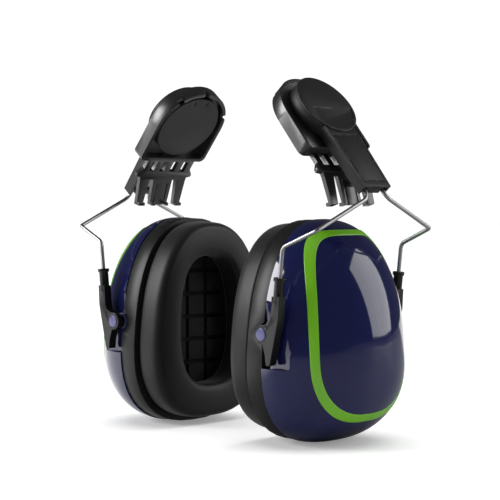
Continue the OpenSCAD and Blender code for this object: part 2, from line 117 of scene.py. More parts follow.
class Loft:
    """A skin drawn ring by ring: each new ring is extruded from the last and put in its place."""

    def __init__(self, count: int, spot: Callable[[int], Vector]) -> None:
        """Start with an open ring.

        Args:
            count: vertices in each ring.
            spot: gives the place of vertex number i of the first ring.
        """
        self.bm = bmesh.new()
        bmesh.ops.create_circle(self.bm, cap_ends=False, radius=0.01, segments=count)
        self.bm.verts.ensure_lookup_table()
        self.ring = list(self.bm.verts)
        self.first = list(self.ring)
        place_ring(self.ring, spot)

    def edges_of(self, ring: Sequence[bmesh.types.BMVert]) -> list[bmesh.types.BMEdge]:
        """The edges that join one ring's vertices in order."""
        pairs = zip(ring, list(ring[1:]) + [ring[0]])
        return [edge for edge in (self.bm.edges.get(pair) for pair in pairs) if edge]

    def extrude(self, spot: Callable[[int], Vector]) -> None:
        """Add one ring.

        Args:
            spot: gives the place of vertex number i of the new ring.
        """
        old = self.ring
        made = bmesh.ops.extrude_edge_only(self.bm, edges=self.edges_of(old))["geom"]
        fresh = {v for v in made if isinstance(v, bmesh.types.BMVert)}
        ring = []
        for vert in old:
            ring.append(next(e.other_vert(vert) for e in vert.link_edges if e.other_vert(vert) in fresh))
        self.ring = ring
        place_ring(ring, spot)

    def pinch(self, ring: Sequence[bmesh.types.BMVert], at: Vector) -> None:
        """Close a ring with a fan of faces that meet at a point.

        Args:
            ring: the ring to close.
            at: place of the point.
        """
        made = bmesh.ops.extrude_edge_only(self.bm, edges=self.edges_of(ring))["geom"]
        tips = [v for v in made if isinstance(v, bmesh.types.BMVert)]
        bmesh.ops.pointmerge(self.bm, verts=tips, merge_co=at)

    def join_ends(self) -> None:
        """Bridge the last ring back to the first."""
        bmesh.ops.bridge_loops(self.bm, edges=self.edges_of(self.ring) + self.edges_of(self.first))

    def done(self) -> bmesh.types.BMesh:
        """The finished mesh, with its faces turned outwards."""
        bmesh.ops.recalc_face_normals(self.bm, faces=self.bm.faces)
        return self.bm


def to_mesh(bm: bmesh.types.BMesh, name: str) -> bpy.types.Mesh:
    """Turn an edit mesh, which is used up, into a mesh with a name."""
    mesh = bpy.data.meshes.new(name)
    bm.to_mesh(mesh)
    bm.free()
    return mesh


def add_object(name: str, data: bpy.types.ID) -> bpy.types.Object:
    """Make an object from its data and link it to the scene."""
    made = bpy.data.objects.new(name, data)
    bpy.context.scene.collection.objects.link(made)
    return made


def evaluated_mesh(source: bpy.types.Object) -> bpy.types.Mesh:
    """A new mesh with the object's modifiers applied."""
    graph = bpy.context.evaluated_depsgraph_get()
    return bpy.data.meshes.new_from_object(source.evaluated_get(graph))


def make_piece(
    name: str,
    bm: bmesh.types.BMesh,
    side: Side,
    body: str,
    finish: "Finish",
    stands_for: Sequence[str] = (),
    sharp: float = SOFT_ANGLE,
) -> bpy.types.Object:
    """Make a piece from a mesh drawn for the left unit.

    Args:
        name: the piece's name without its side.
        bm: mesh, which is used up.
        side: the unit it belongs to.
        body: the CAD body it rides on, without its side.
        finish: finish that dresses it.
        stands_for: CAD nodes, without their side, that it replaces.
        sharp: edges that turn more than this stay sharp in the shading, in radians.

    Returns:
        The new object, dressed and riding on its body.
    """
    mirror_to(side, bm)
    return adopt(to_mesh(bm, side.node(name)), name, side, body, finish, stands_for, sharp)


def adopt(
    mesh: bpy.types.Mesh,
    name: str,
    side: Side,
    body: str,
    finish: "Finish",
    stands_for: Sequence[str] = (),
    sharp: float = SOFT_ANGLE,
) -> bpy.types.Object:
    """Make a piece from a finished mesh that is already on its own side.

    Args:
        mesh: the mesh in the row frame.
        name: the piece's name without its side.
        side: the unit it belongs to.
        body: the CAD body it rides on, without its side.
        finish: finish that dresses it.
        stands_for: CAD nodes, without their side, that it replaces.
        sharp: edges that turn more than this stay sharp in the shading, in radians.

    Returns:
        The new object, dressed and riding on its body.
    """
    piece = add_object(f"{side.label}_{name}_look", mesh)
    mesh.materials.clear()
    mesh.materials.append(finish.material())
    mesh.polygons.foreach_set("use_smooth", [True] * len(mesh.polygons))
    mesh.set_sharp_from_angle(angle=sharp)
    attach(piece, side.node(body) if body != "adapters" else body)
    if stands_for:
        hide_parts(*[side.node(node) for node in stands_for])
    LOG.info("%s: %d faces on %s", piece.name, len(mesh.polygons), body)
    return piece


def softened(node: str, width: float, segments: int = 2, angle: float = SOFT_ANGLE) -> bmesh.types.BMesh:
    """A merged copy of a CAD node whose corners are rounded.

    Args:
        node: the CAD node's full name.
        width: how far each rounding reaches from its corner.
        segments: steps in each rounding.
        angle: corners sharper than this are rounded, in radians.

    Returns:
        The new mesh.
    """
    bm = bmesh.new()
    bm.from_mesh(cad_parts[node].data)
    bmesh.ops.remove_doubles(bm, verts=bm.verts, dist=MERGE_GAP)
    bmesh.ops.dissolve_limit(
        bm, angle_limit=FLAT_ANGLE, use_dissolve_boundaries=False, verts=bm.verts, edges=bm.edges
    )
    corners = [e for e in bm.edges if len(e.link_faces) == 2 and e.calc_face_angle(0) > angle]
    bmesh.ops.bevel(
        bm,
        geom=corners,
        offset=width,
        offset_type="OFFSET",
        segments=segments,
        profile=0.5,
        affect="EDGES",
        clamp_overlap=True,
        material=-1,
    )
    return bm


def soften_node(
    node: str, side: Side, body: str, finish: "Finish", width: float, segments: int = 2
) -> bpy.types.Object:
    """Make a piece from one side's own CAD node, with its corners rounded.

    Args:
        node: the CAD node's name without its side, which the piece takes over.
        side: the unit it belongs to.
        body: the CAD body it rides on, without its side.
        finish: finish that dresses it.
        width: how far each rounding reaches from its corner.
        segments: steps in each rounding.

    Returns:
        The new object, dressed and riding on its body.
    """
    bm = softened(side.node(node), width, segments)
    return adopt(to_mesh(bm, side.node(node)), node, side, body, finish, [node])


# ---- Finishes -----------------------------------------------------------------------------


def fill(node: bpy.types.Node, **values: object) -> None:
    """Set a node's inputs by name, with _ for a space."""
    for label, value in values.items():
        node.inputs[label.replace("_", " ")].default_value = value


def linker(tree: bpy.types.NodeTree) -> Callable[..., None]:
    """A function that joins an output to an input: node, socket, node, socket."""

    def link(source: bpy.types.Node, out: object, target: bpy.types.Node, into: object) -> None:
        tree.links.new(source.outputs[out], target.inputs[into])

    return link


class Groups:
    """Node groups that several finishes share; each is built once."""

    made: dict[str, bpy.types.NodeTree] = {}

    @classmethod
    def get(cls, name: str) -> bpy.types.NodeTree:
        """The named group, built the first time it is asked for."""
        if name not in cls.made:
            cls.made[name] = {"EdgeWearAndHighlight": cls.edge_wear_and_highlight, "Grain": cls.grain, "Handling": cls.handling}[name]()
        return cls.made[name]

    @staticmethod
    def start(name: str, inputs: dict[str, float], outputs: Sequence[str]) -> bpy.types.NodeTree:
        """An empty group with float sockets.

        Args:
            name: the group's name.
            inputs: each input's name and its usual value.
            outputs: names of the outputs.

        Returns:
            The new node tree.
        """
        tree = bpy.data.node_groups.new(name, "ShaderNodeTree")
        for label, value in inputs.items():
            socket = tree.interface.new_socket(label, in_out="INPUT", socket_type="NodeSocketFloat")
            socket.default_value = value
        for label in outputs:
            tree.interface.new_socket(label, in_out="OUTPUT", socket_type="NodeSocketFloat")
        return tree

    @classmethod
    def edge_wear_and_highlight(cls) -> bpy.types.NodeTree:
        """Mask that is 1 along edges, broken up by noise: partly rubbed wear, partly a painted highlight."""
        tree = cls.start("EdgeWearAndHighlight", {"Reach": 0.0005, "Amount": 1.0, "Patches": 260.0}, ["Mask"])
        put, link = tree.nodes.new, linker(tree)
        given, out = put("NodeGroupInput"), put("NodeGroupOutput")
        bevel, flat = put("ShaderNodeBevel"), put("ShaderNodeNewGeometry")
        bevel.samples = 4
        dot, ramp = put("ShaderNodeVectorMath"), put("ShaderNodeMapRange")
        coords, noise = put("ShaderNodeTexCoord"), put("ShaderNodeTexNoise")
        patch, times, scaled = put("ShaderNodeMapRange"), put("ShaderNodeMath"), put("ShaderNodeMath")
        dot.operation = "DOT_PRODUCT"
        times.operation = scaled.operation = "MULTIPLY"
        fill(ramp, From_Min=0.995, From_Max=0.90)
        fill(patch, From_Min=0.42, From_Max=0.62)
        link(given, "Reach", bevel, "Radius")
        link(bevel, "Normal", dot, 0)
        link(flat, "Normal", dot, 1)
        link(dot, "Value", ramp, "Value")
        link(coords, "Object", noise, "Vector")
        link(given, "Patches", noise, "Scale")
        link(noise, "Fac", patch, "Value")
        link(ramp, "Result", times, 0)
        link(patch, "Result", times, 1)
        link(times, "Value", scaled, 0)
        link(given, "Amount", scaled, 1)
        link(scaled, "Value", out, "Mask")
        return tree

    @classmethod
    def grain(cls) -> bpy.types.NodeTree:
        """Height of a fine moulded grain with a slow waviness under it."""
        tree = cls.start("Grain", {"Scale": 2500.0, "Fine": 0.7, "Wave Scale": 90.0, "Wave": 0.3}, ["Height"])
        put, link = tree.nodes.new, linker(tree)
        given, out, coords = put("NodeGroupInput"), put("NodeGroupOutput"), put("ShaderNodeTexCoord")
        fine, wave = put("ShaderNodeTexNoise"), put("ShaderNodeTexNoise")
        fine_part, wave_part, total = put("ShaderNodeMath"), put("ShaderNodeMath"), put("ShaderNodeMath")
        fine_part.operation = wave_part.operation = "MULTIPLY"
        fill(fine, Detail=3.0)
        fill(wave, Detail=1.0)
        for texture, scale in ((fine, "Scale"), (wave, "Wave Scale")):
            link(coords, "Object", texture, "Vector")
            link(given, scale, texture, "Scale")
        link(fine, "Fac", fine_part, 0)
        link(given, "Fine", fine_part, 1)
        link(wave, "Fac", wave_part, 0)
        link(given, "Wave", wave_part, 1)
        link(fine_part, "Value", total, 0)
        link(wave_part, "Value", total, 1)
        link(total, "Value", out, "Height")
        return tree

    @classmethod
    def handling(cls) -> bpy.types.NodeTree:
        """Roughness that drifts a little over the surface."""
        tree = cls.start("Handling", {"Rough": 0.3, "Drift": 0.06, "Scale": 45.0}, ["Roughness"])
        put, link = tree.nodes.new, linker(tree)
        given, out, coords = put("NodeGroupInput"), put("NodeGroupOutput"), put("ShaderNodeTexCoord")
        noise, centre = put("ShaderNodeTexNoise"), put("ShaderNodeMath")
        times, total = put("ShaderNodeMath"), put("ShaderNodeMath")
        centre.operation = "SUBTRACT"
        times.operation = "MULTIPLY"
        centre.inputs[1].default_value = 0.5
        fill(noise, Detail=5.0, Roughness=0.65)
        link(coords, "Object", noise, "Vector")
        link(given, "Scale", noise, "Scale")
        link(noise, "Fac", centre, 0)
        link(centre, "Value", times, 0)
        link(given, "Drift", times, 1)
        link(times, "Value", total, 0)
        link(given, "Rough", total, 1)
        link(total, "Value", out, "Roughness")
        return tree


@dataclass(frozen=True)
class Finish:
    """A moulded plastic: colour, gloss, grain and lighter edges, partly rubbed wear and partly a painted
    highlight.

    Attributes:
        slot: the record's material slot.
        colour: base colour, linear.
        wear_and_highlight_colour: colour of the edges, linear; partly rubbed wear, partly a painted
            highlight.
        rough: mean roughness.
        drift: how much the roughness wanders.
        coat: weight of a clear gloss layer.
        coat_rough: roughness of that layer.
        grade: how the surface is moulded.
        depth: depth of the grain's bump, in metres.
        wave: share of slow waviness in the bump.
        wear_and_highlight: how strongly the edges take that colour, as wear and as a painted highlight.
        metal: 1 for bare metal.
        shine: strength of the surface's reflection; 0.5 is usual for plastic.
    """

    slot: str
    colour: Triple
    wear_and_highlight_colour: Triple
    rough: float = 0.4
    drift: float = 0.1
    coat: float = 0.0
    coat_rough: float = 0.05
    grade: Grade = Grade.SATIN
    depth: float = 0.00002
    wave: float = 0.3
    wear_and_highlight: float = 0.5
    metal: float = 0.0
    shine: float = 0.5

    def material(self) -> bpy.types.Material:
        """The material, built the first time it is asked for."""
        found = bpy.data.materials.get(self.label)
        return found if found else self.build()

    @property
    def label(self) -> str:
        """The material's name, apart from the CAD model's own plain materials."""
        return f"{self.slot}_look"

    def build(self) -> bpy.types.Material:
        """Make the material's nodes.

        Returns:
            The new material.
        """
        material, shader = self.blank()
        tree = material.node_tree
        self.tint(tree, shader)
        self.wander(tree, shader)
        grain = self.place_group(tree, "Grain", Scale=1 / self.grade.value, Wave=self.wave)
        self.bump(tree, shader, grain.outputs["Height"], self.depth)
        return material

    def blank(self) -> tuple[bpy.types.Material, bpy.types.Node]:
        """A new material with its shader's steady values set.

        Returns:
            The material and its Principled shader.
        """
        material = bpy.data.materials.new(self.label)
        material.use_nodes = True
        shader = material.node_tree.nodes["Principled BSDF"]
        fill(shader, Metallic=self.metal, Specular_IOR_Level=self.shine, Coat_Weight=self.coat)
        fill(shader, Coat_Roughness=self.coat_rough)
        return material, shader

    @staticmethod
    def place_group(tree: bpy.types.NodeTree, name: str, **values: float) -> bpy.types.Node:
        """Place a shared group in a material with its own values.

        Args:
            tree: the material's nodes.
            name: the group's name.
            **values: input values by name, with _ for a space.

        Returns:
            The group node.
        """
        node = tree.nodes.new("ShaderNodeGroup")
        node.node_tree = Groups.get(name)
        fill(node, **values)
        return node

    def wander(self, tree: bpy.types.NodeTree, shader: bpy.types.Node) -> None:
        """Let the roughness drift over the surface.

        Args:
            tree: the material's nodes.
            shader: its Principled shader.
        """
        handling = self.place_group(tree, "Handling", Rough=self.rough, Drift=self.drift)
        linker(tree)(handling, "Roughness", shader, "Roughness")

    def tint(self, tree: bpy.types.NodeTree, shader: bpy.types.Node) -> None:
        """Mottle the colour slightly and lighten its edges, partly as rubbed wear and partly as a painted
        highlight.

        Args:
            tree: the material's nodes.
            shader: its Principled shader.
        """
        put, link = tree.nodes.new, linker(tree)
        coords, noise = put("ShaderNodeTexCoord"), put("ShaderNodeTexNoise")
        fill(noise, Scale=60.0, Detail=4.0)
        mottle, wear_and_highlight_colour = put("ShaderNodeMix"), put("ShaderNodeMix")
        for mix in (mottle, wear_and_highlight_colour):
            mix.data_type = "RGBA"
        mottle.inputs[MIX_A].default_value = (*[c * 0.9 for c in self.colour], 1)
        mottle.inputs[MIX_B].default_value = (*[min(1, c * 1.1) for c in self.colour], 1)
        wear_and_highlight_colour.inputs[MIX_B].default_value = (*self.wear_and_highlight_colour, 1)
        # Edge colour: partly rubbed wear, partly a painted highlight along the edges.
        wear_and_highlight = self.place_group(tree, "EdgeWearAndHighlight", Amount=self.wear_and_highlight)
        link(coords, "Object", noise, "Vector")
        link(noise, "Fac", mottle, 0)
        link(mottle, MIX_OUT, wear_and_highlight_colour, MIX_A)
        link(wear_and_highlight, "Mask", wear_and_highlight_colour, 0)
        link(wear_and_highlight_colour, MIX_OUT, shader, "Base Color")

    @staticmethod
    def bump(
        tree: bpy.types.NodeTree, shader: bpy.types.Node, height: bpy.types.NodeSocket, depth: float
    ) -> None:
        """Feed a height into the shader's normal.

        Args:
            tree: the material's nodes.
            shader: its Principled shader.
            height: socket that gives the height.
            depth: depth of the relief, in metres.
        """
        bump = tree.nodes.new("ShaderNodeBump")
        fill(bump, Strength=1.0, Distance=depth)
        tree.links.new(height, bump.inputs["Height"])
        tree.links.new(bump.outputs["Normal"], shader.inputs["Normal"])


@dataclass(frozen=True)
class Steel(Finish):
    """Drawn or rolled steel with fine scratches along its length.

    Attributes:
        stretch: how the scratch pattern is stretched along X, Y and Z.
    """

    stretch: Triple = (1.0, 1.0, 0.12)
    metal: float = 1.0

    def build(self) -> bpy.types.Material:
        """Make the material's nodes.

        Returns:
            The new material.
        """
        material, shader = self.blank()
        tree = material.node_tree
        self.tint(tree, shader)
        put, link = tree.nodes.new, linker(tree)
        coords, turn, noise = put("ShaderNodeTexCoord"), put("ShaderNodeMapping"), put("ShaderNodeTexNoise")
        rough = put("ShaderNodeMapRange")
        fill(turn, Scale=self.stretch)
        fill(noise, Scale=3000.0, Detail=3.0)
        fill(rough, To_Min=self.rough - self.drift, To_Max=self.rough + self.drift)
        link(coords, "Object", turn, "Vector")
        link(turn, "Vector", noise, "Vector")
        link(noise, "Fac", rough, "Value")
        link(rough, "Result", shader, "Roughness")
        self.bump(tree, shader, noise.outputs["Fac"], self.depth)
        return material


@dataclass(frozen=True)
class Vinyl(Finish):
    """Soft vinyl skin: shallow leathery cells, fine pores and a sheen."""

    def build(self) -> bpy.types.Material:
        """Make the material's nodes.

        Returns:
            The new material.
        """
        material, shader = self.blank()
        tree = material.node_tree
        self.tint(tree, shader)
        fill(shader, Sheen_Weight=0.15, Sheen_Roughness=0.4)
        self.wander(tree, shader)
        put, link = tree.nodes.new, linker(tree)
        coords, cells = put("ShaderNodeTexCoord"), put("ShaderNodeTexVoronoi")
        pores, total = put("ShaderNodeTexNoise"), put("ShaderNodeMath")
        cells.feature = "DISTANCE_TO_EDGE"
        fill(cells, Scale=1 / self.grade.value)
        fill(pores, Scale=4 / self.grade.value)
        total.operation = "ADD"
        for texture in (cells, pores):
            link(coords, "Object", texture, "Vector")
        link(cells, "Distance", total, 0)
        link(pores, "Fac", total, 1)
        self.bump(tree, shader, total.outputs["Value"], self.depth)
        return material


@dataclass(frozen=True)
class Foam(Finish):
    """Open-cell foam: round cells whose hollows carry painted shade and whose ridges are lighter."""

    def build(self) -> bpy.types.Material:
        """Make the material's nodes.

        Returns:
            The new material.
        """
        material, shader = self.blank()
        tree = material.node_tree
        put, link = tree.nodes.new, linker(tree)
        coords, cells = put("ShaderNodeTexCoord"), put("ShaderNodeTexVoronoi")
        noise, ramp, total = put("ShaderNodeTexNoise"), put("ShaderNodeMix"), put("ShaderNodeMath")
        # Colour follows the cells' bump height: painted shade in the hollows, lighter on the ridges.
        ramp.data_type = "RGBA"
        ramp.inputs[MIX_A].default_value = (*[c * 0.35 for c in self.colour], 1)
        ramp.inputs[MIX_B].default_value = (*[c * 1.4 for c in self.colour], 1)
        fill(cells, Scale=1100.0)
        fill(noise, Scale=700.0, Detail=5.0)
        total.operation = "MULTIPLY"
        for texture in (cells, noise):
            link(coords, "Object", texture, "Vector")
        link(cells, "Distance", total, 0)
        link(noise, "Fac", total, 1)
        link(total, "Value", ramp, 0)
        link(ramp, MIX_OUT, shader, "Base Color")
        self.wander(tree, shader)
        self.bump(tree, shader, total.outputs["Value"], self.depth)
        return material


NYLON = Finish(
    "black_nylon", (0.010, 0.010, 0.0105), (0.05, 0.05, 0.05), rough=0.32, depth=0.000012, shine=1.0
)
DISC_NYLON = Finish(
    "disc_nylon", (0.03, 0.03, 0.031), (0.07, 0.07, 0.07), rough=0.6, depth=0.000014, shine=0.25
)
# Its strong edge colour is partly rubbed wear and partly a painted highlight on the edges of the arm, cap and
# slider.
GLOSS = Finish(
    "black_gloss",
    (0.009, 0.009, 0.0095),
    (0.12, 0.12, 0.12),
    rough=0.5,
    depth=0.000008,
    shine=0.42,
    wear_and_highlight=0.8,
)
YOKE_GLOSS = Finish(
    "yoke_gloss",
    (0.006, 0.006, 0.0065),
    (0.04, 0.04, 0.04),
    rough=0.26,
    drift=0.05,
    depth=0.000006,
    coat=0.1,
    shine=0.35,
)
SATIN = Finish(
    "black_satin", (0.0095, 0.0098, 0.0095), (0.05, 0.05, 0.05), rough=0.36, depth=0.000014, shine=0.28
)
NAVY = Finish(
    "navy_shell",
    (0.0078, 0.0098, 0.056),
    (0.02, 0.022, 0.1),
    rough=0.09,
    drift=0.03,
    coat=0.5,
    coat_rough=0.015,
    shine=0.4,
    grade=Grade.POLISHED,
    depth=0.0000008,
    wave=0.8,
    wear_and_highlight=0.2,
)
PIN_BLUE = Finish(
    "pin_blue", (0.075, 0.075, 0.21), (0.18, 0.18, 0.36), rough=0.3, coat=0.3, depth=0.000006, wear_and_highlight=0.3
)
LIME = Finish(
    "lime_trim", (0.15, 0.44, 0.012), (0.35, 0.6, 0.12), rough=0.3, coat=0.3, depth=0.000004, wear_and_highlight=0.15
)
WIRE = Steel(
    "wire_steel", (0.46, 0.46, 0.47), (0.4, 0.4, 0.4), rough=0.42, drift=0.07, depth=0.000003, wear_and_highlight=0.0
)
STRIP = Steel(
    "spring_steel", (0.5, 0.5, 0.52), (0.4, 0.4, 0.4), rough=0.3, depth=0.000004, stretch=(1.0, 0.1, 1.0)
)
SCREW = Steel(
    "screw_steel", (0.55, 0.55, 0.57), (0.4, 0.4, 0.4), rough=0.28, depth=0.000004, stretch=(1.0, 1.0, 1.0)
)
VINYL = Vinyl(
    "vinyl",
    (0.0085, 0.0085, 0.0088),
    (0.02, 0.02, 0.02),
    rough=0.38,
    grade=Grade.LEATHERY,
    depth=0.00003,
    wear_and_highlight=0.2,
    shine=0.25,
)
LINER_FOAM = Foam("liner_foam", (0.009, 0.009, 0.009), (0.03, 0.03, 0.03), rough=0.95, depth=0.0003)


# ---- Cup ----------------------------------------------------------------------------------


@dataclass
class CupForm:
    """The cup's egg-shaped dome, measured from the middle of its pivot axis."""

    pivot_x: float = 54 * MM
    pivot_z: float = -75 * MM
    half_w: float = 40.5 * MM
    half_h: float = 53.8 * MM
    mid: float = -0.6 * MM
    taper: float = 0.15
    power: float = 2.5
    crown: float = -10 * MM
    foot: float = -2.6 * MM
    depth: float = 39.3 * MM

    @staticmethod
    def egg(angle: float, half_w: float, half_h: float, mid: float, power: float, taper: float) -> Vector:
        """A point of an egg-shaped outline.

        Args:
            angle: direction in radians, counted from +Y towards +Z.
            half_w: half the outline's width.
            half_h: half its height.
            mid: height of its middle.
            power: how square it is; 2 is an ellipse.
            taper: how much narrower its top is.

        Returns:
            The point's Y and Z as a 2-D vector.
        """
        rise = signed_power(math.sin(angle), 2 / power)
        across = signed_power(math.cos(angle), 2 / power)
        return Vector((half_w * across * (1 - taper * rise), mid + half_h * rise))

    def outline(self, angle: float, inset: float = 0.0) -> Vector:
        """A point of the cup's rim, pulled in by inset."""
        return self.egg(angle, self.half_w - inset, self.half_h - inset, self.mid, self.power, self.taper)

    def place(self, x: float, y: float, z: float) -> Vector:
        """A point measured from the pivot axis, in the row frame."""
        return Vector((self.pivot_x + x, y, self.pivot_z + z))

    def reach(self, y: float, z: float) -> float:
        """How far from the crown to the rim a point lies, from 0 to 1, found by halving.

        Args:
            y: Y of the point.
            z: its Z from the pivot axis.

        Returns:
            The share of the way to the rim.
        """
        low, high = 0.0, 1.2
        for _ in range(40):
            middle = (low + high) / 2
            if self.inside(y / middle if middle else 0, (z - self.crown) / middle if middle else 0):
                high = middle
            else:
                low = middle
        return high

    def inside(self, y: float, rise: float) -> bool:
        """Whether a point, measured from the crown, lies inside the rim."""
        share = (rise + self.crown - self.mid) / self.half_h
        if abs(share) >= 1:
            return False
        across = (1 - abs(share) ** self.power) ** (1 / self.power)
        return abs(y) < self.half_w * across * (1 - self.taper * share)

    def on_dome(self, y: float, z: float, lift: float) -> Vector:
        """A point of the dome's surface over a place in the YZ plane, lifted off it."""
        k = min(0.9995, self.reach(y, z))
        grow = 1 + lift * k / self.half_w
        x = self.foot + (self.depth + lift) * math.sqrt(1 - k * k)
        return self.place(x, y * grow, self.crown + (z - self.crown) * grow)


@dataclass
class Cup:
    """Dome, trim, base plate, pivot pins, cushion clip ring and foam of one ear cup."""

    side: Side
    form: CupForm
    columns: int = 160
    rows: int = 44
    inner_rows: int = 16
    wall: float = 2.8 * MM
    pocket_y: float = 38 * MM
    pocket_low: float = -16.2 * MM
    pocket_out: float = 12.7 * MM
    trim_width: float = 4 * MM
    trim_top: float = 58 * MM
    trim_bottom: float = 32.3 * MM

    def build(self) -> None:
        """Make every piece of the cup."""
        self.shell()
        self.trim()
        self.base()
        self.pins()
        self.clip_ring()
        self.liner()

    def shell(self) -> bpy.types.Object:
        """Hollow glossy dome with a flat pocket at the front and at the rear.

        Returns:
            The piece.
        """
        form, turn = self.form, math.tau / self.columns
        inner_w = form.half_w - 2 * self.wall + 0.7 * MM
        inner_h = form.half_h - self.wall
        inner_depth = form.depth - self.wall

        def spot(level: float, inner: bool) -> Callable[[int], Vector]:
            k, lift = math.cos(level), math.sin(level)
            width, height, depth = (
                (inner_w, inner_h, inner_depth) if inner else (form.half_w, form.half_h, form.depth)
            )

            def at(i: int) -> Vector:
                p = form.egg(i * turn, width, height, form.mid, form.power, form.taper)
                return form.place(form.foot + depth * lift, p[0] * k, form.crown + (p[1] - form.crown) * k)

            return at

        quarter = math.pi / 2
        inner_levels = [quarter * (1 - (j + 1) / self.inner_rows) for j in range(self.inner_rows)]
        outer_levels = [quarter * j / self.rows for j in range(self.rows)]
        loft = Loft(self.columns, spot(inner_levels[0], True))
        for level in inner_levels[1:]:
            loft.extrude(spot(level, True))
        for level in outer_levels:
            loft.extrude(spot(level, False))
        loft.pinch(loft.ring, form.place(form.foot + form.depth, 0, form.crown))
        loft.pinch(loft.first, form.place(form.foot + inner_depth, 0, form.crown))
        bm = self.cut_pockets(to_mesh(loft.done(), "shell_raw"))
        return make_piece("cup_shell", bm, self.side, "cup", NAVY, ["cup_shell"], math.radians(35))

    def cut_pockets(self, mesh: bpy.types.Mesh) -> bmesh.types.BMesh:
        """Cut the two flat pockets out of the dome and round their edges.

        Args:
            mesh: the whole dome.

        Returns:
            The dome with its pockets.
        """
        form = self.form
        cutter = bmesh.new()
        for sign in (-1, 1):
            box = bmesh.ops.create_cube(cutter, size=1)["verts"]
            low = form.place(form.foot - 1 * MM, sign * self.pocket_y, self.pocket_low)
            high = form.place(self.pocket_out, sign * (self.pocket_y + 10 * MM), 60 * MM)
            span = high - low
            bmesh.ops.scale(cutter, vec=[abs(v) for v in span], verts=box)
            bmesh.ops.translate(cutter, vec=(low + high) / 2, verts=box)
            rounded = [
                e
                for e in {e for v in box for e in v.link_edges}
                if abs(e.verts[0].co.y - e.verts[1].co.y) > 5 * MM
            ]
            bmesh.ops.bevel(
                cutter,
                geom=rounded,
                offset=1.5 * MM,
                offset_type="OFFSET",
                segments=5,
                profile=0.5,
                affect="EDGES",
                material=-1,
            )
        bmesh.ops.recalc_face_normals(cutter, faces=cutter.faces)
        return self.subtract(mesh, cutter)

    @staticmethod
    def subtract(mesh: bpy.types.Mesh, cutter: bmesh.types.BMesh) -> bmesh.types.BMesh:
        """Take one closed mesh away from another.

        Args:
            mesh: what is cut.
            cutter: the shape that is taken away, which is used up.

        Returns:
            What is left.
        """
        whole = add_object("cut_whole", mesh)
        tool = add_object("cut_tool", to_mesh(cutter, "cut_tool"))
        modifier = whole.modifiers.new("cut", "BOOLEAN")
        modifier.operation = "DIFFERENCE"
        modifier.solver = "EXACT"
        modifier.object = tool
        bpy.context.view_layer.update()
        cut = evaluated_mesh(whole)
        bpy.data.objects.remove(whole)
        bpy.data.objects.remove(tool)
        bm = bmesh.new()
        bm.from_mesh(cut)
        bpy.data.meshes.remove(cut)
        return bm

    def trim_point(self, angle: float, shrink: float) -> tuple[float, float]:
        """Where the trim's D-shaped loop runs: square at its narrow top, round at its bottom.

        Args:
            angle: direction in radians from +Y towards +Z.
            shrink: how far inside the loop's outer edge.

        Returns:
            The point's Y and its Z from the pivot axis.
        """
        upper = math.sin(angle) > 0
        power = 5 if upper else 2.5
        rise = self.trim_top - 0.6 * shrink if upper else self.trim_bottom - shrink
        share = signed_power(math.sin(angle), 2 / power)
        half = (self.form.half_w * 0.82 - 0.75 * shrink) * (1 - 0.22 * share**2 if upper else 1)
        return half * signed_power(math.cos(angle), 2 / power), self.form.crown + rise * share

    def trim(self) -> bpy.types.Object:
        """Raised lime band that follows the dome.

        Returns:
            The piece.
        """
        count, w = 192, self.trim_width
        section = [
            (0.0, -0.3),
            (0.0, 0.16),
            (0.025, 0.25),
            (0.08, 0.3),
            (0.3, 0.32),
            (0.7, 0.32),
            (0.92, 0.3),
            (0.975, 0.25),
            (1.0, 0.16),
            (1.0, -0.3),
        ]

        def spot(share: float, lift: float) -> Callable[[int], Vector]:
            return lambda i: self.form.on_dome(*self.trim_point(math.tau * i / count, share * w), lift * MM)

        loft = Loft(count, spot(*section[0]))
        for share, lift in section[1:]:
            loft.extrude(spot(share, lift))
        loft.join_ends()
        return make_piece("trim_ring", loft.done(), self.side, "cup", LIME, ["trim_ring"], math.radians(60))

    def base(self) -> bpy.types.Object:
        """Black band and plate behind the dome."""
        return soften_node("base_plate", self.side, "cup", SATIN, 0.35 * MM)

    def pins(self) -> bpy.types.Object:
        """Round pivot buttons at the front and at the rear."""
        return soften_node("pivot_pins", self.side, "cup", PIN_BLUE, 0.5 * MM, 4)

    def clip_ring(self) -> bpy.types.Object:
        """Ring that clips the cushion to the plate."""
        return soften_node("cushion_ring", self.side, "cup", SATIN, 0.3 * MM)

    def liner(self) -> bpy.types.Object:
        """Waffle foam inside the cup."""
        return soften_node("foam_liner", self.side, "cup", LINER_FOAM, 0.6 * MM, 3)


